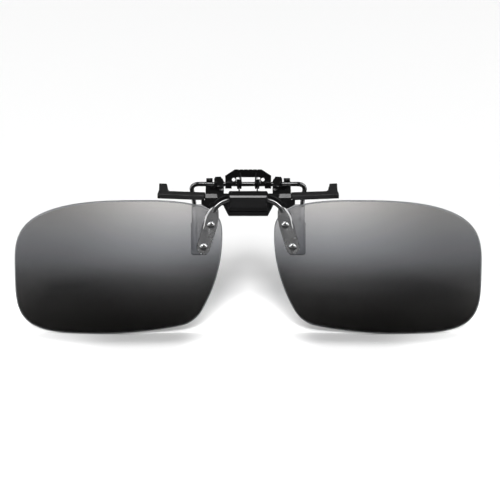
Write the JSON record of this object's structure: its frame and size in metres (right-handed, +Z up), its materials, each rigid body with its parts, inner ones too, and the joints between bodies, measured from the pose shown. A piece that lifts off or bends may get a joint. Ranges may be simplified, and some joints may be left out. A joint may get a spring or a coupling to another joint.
{
  "type": "clip-on sunglasses",
  "caption": "Flip-up clip-on sunglasses: rimless gradient lenses on a bridge wire that turns in a faceted block, with a sprung wire clip behind.",
  "frame": {"origin": "centre of the flat rear face of the clip's base, where it sits against the bridge of the glasses", "axes": "+X across the lenses towards the wearer's left, +Y towards the wearer's face, +Z up"},
  "size_m": [0.1348, 0.0185, 0.0445],
  "materials": {
    "black_plastic": "moulded, satin gloss",
    "black_gloss_plastic": "moulded, high gloss",
    "black_rubber": "soft matte",
    "black_lever": "black, semi-gloss",
    "spring_steel": "plain",
    "polished_wire": "polished",
    "polished_screw": "polished",
    "clear_plastic": "clear",
    "clear_silicone": "translucent, soft",
    "tinted_lens": "grey gradient, light at the top and dark at the bottom"
  },
  "bodies": {
    "base": {"clip_base": "black_plastic", "hinge_cover": "black_gloss_plastic", "detent_spring": "spring_steel", "right_arm_sleeve": "black_rubber", "left_arm_sleeve": "black_rubber", "right_torsion_spring": "spring_steel", "left_torsion_spring": "spring_steel"},
    "flip_lenses": {"bridge_wire": "polished_wire", "flip_cam": "spring_steel", "right_lens_leaf": "polished_wire", "left_lens_leaf": "polished_wire", "right_lens": "tinted_lens", "left_lens": "tinted_lens", "right_lens_screws": "polished_screw", "left_lens_screws": "polished_screw", "right_lens_washers": "clear_plastic", "left_lens_washers": "clear_plastic", "right_lens_nuts": "polished_screw", "left_lens_nuts": "polished_screw"},
    "jaw": {"thumb_lever": "black_lever", "claw_wire": "polished_wire", "right_rear_pad": "clear_silicone", "left_rear_pad": "clear_silicone"}
  },
  "joints": [
    {"name": "flip", "type": "hinge", "parent": "base", "child": "flip_lenses", "pos_m": [0, -0.00265, -0.00022], "axis": [-1, 0, 0], "range_deg": [0, 90], "deforming": ["detent_spring"]},
    {"name": "jaw", "type": "hinge", "parent": "base", "child": "jaw", "pos_m": [0, 0.009, 0.0006], "axis": [1, 0, 0], "range_deg": [0, 25], "stiffness_Nm_per_rad": 0.03, "springref_deg": -28.65, "deforming": ["right_torsion_spring", "left_torsion_spring"]}
  ]
}
